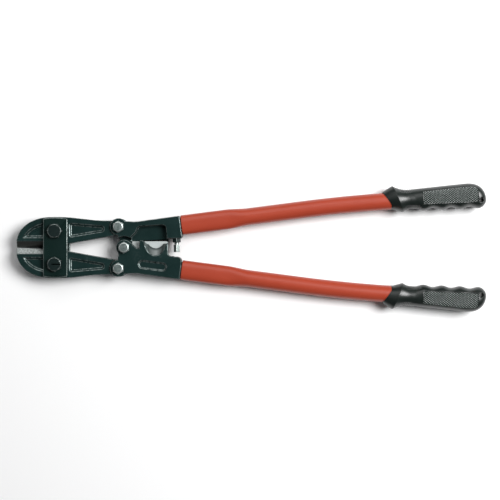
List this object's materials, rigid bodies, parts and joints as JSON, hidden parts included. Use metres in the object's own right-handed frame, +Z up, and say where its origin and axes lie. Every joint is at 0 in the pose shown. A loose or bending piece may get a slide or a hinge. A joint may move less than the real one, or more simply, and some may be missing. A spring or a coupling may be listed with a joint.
{
  "type": "bolt cutters",
  "caption": "Compound-action bolt cutters with centre-cut jaws, a wire notch between forged frames, red tube handles and black rubber grips.",
  "frame": {"origin": "middle of the base plane under the closed tool, at half its length and on its line of symmetry", "axes": "+X from the jaws to the grips, +Z up from the rest plane to the side with the bolt heads, +Y to the handle that carries the stop screw"},
  "size_m": [0.6002, 0.1644, 0.0334],
  "materials": {
    "forged_steel": "satin green-black on forged steel, ground along the cutting edges",
    "link_steel": "satin green-black on rolled plate",
    "black_hardware": "black oxide on machined steel",
    "bright_hardware": "zinc-plated steel",
    "painted_tube": "semi-gloss orange-red enamel on steel tube",
    "grip_rubber": "satin moulded rubber with a knurled panel"
  },
  "bodies": {
    "head": {"front_link_plate": "link_steel", "back_link_plate": "link_steel", "upper_jaw_bolt": "black_hardware", "lower_jaw_bolt": "black_hardware", "upper_jaw_nut": "black_hardware", "lower_jaw_nut": "black_hardware", "upper_jaw_bush": "bright_hardware", "lower_jaw_bush": "bright_hardware"},
    "upper_jaw": {"upper_jaw": "forged_steel"},
    "lower_jaw": {"lower_jaw": "forged_steel"},
    "upper_handle": {"upper_frame": "forged_steel", "upper_tube": "painted_tube", "upper_grip": "grip_rubber", "upper_pivot_bolt": "bright_hardware", "upper_pivot_nut": "bright_hardware", "upper_pivot_bush": "bright_hardware", "stop_screw": "black_hardware", "stop_lock_nut": "black_hardware"},
    "lower_handle": {"lower_frame": "forged_steel", "lower_tube": "painted_tube", "lower_grip": "grip_rubber", "lower_pivot_bolt": "bright_hardware", "lower_pivot_nut": "bright_hardware", "lower_pivot_bush": "bright_hardware", "centre_bolt": "bright_hardware", "centre_washer": "bright_hardware", "centre_nut": "bright_hardware"}
  },
  "joints": [
    {"name": "upper_jaw_pivot", "type": "hinge", "parent": "head", "child": "upper_jaw", "pos_m": [-0.2491, 0.0211, 0.016], "axis": [0, 0, 1], "range_deg": [-8.36, 0]},
    {"name": "lower_jaw_pivot", "type": "hinge", "parent": "head", "child": "lower_jaw", "pos_m": [-0.2491, -0.0211, 0.016], "axis": [0, 0, 1], "range_deg": [0, 8.36]},
    {"name": "upper_handle_pivot", "type": "hinge", "parent": "upper_jaw", "child": "upper_handle", "pos_m": [-0.1688, 0.0265, 0.016], "axis": [0, 0, 1], "range_deg": [0, 53.3]},
    {"name": "lower_handle_pivot", "type": "hinge", "parent": "lower_jaw", "child": "lower_handle", "pos_m": [-0.1688, -0.0265, 0.016], "axis": [0, 0, 1], "range_deg": [-53.3, 0]}
  ],
  "couplings": [
    {"joint": "upper_jaw_pivot", "follows": "upper_handle_pivot", "ratio": -0.15647},
    {"joint": "lower_jaw_pivot", "follows": "upper_handle_pivot", "ratio": 0.15647},
    {"joint": "lower_handle_pivot", "follows": "upper_handle_pivot", "ratio": -1}
  ]
}
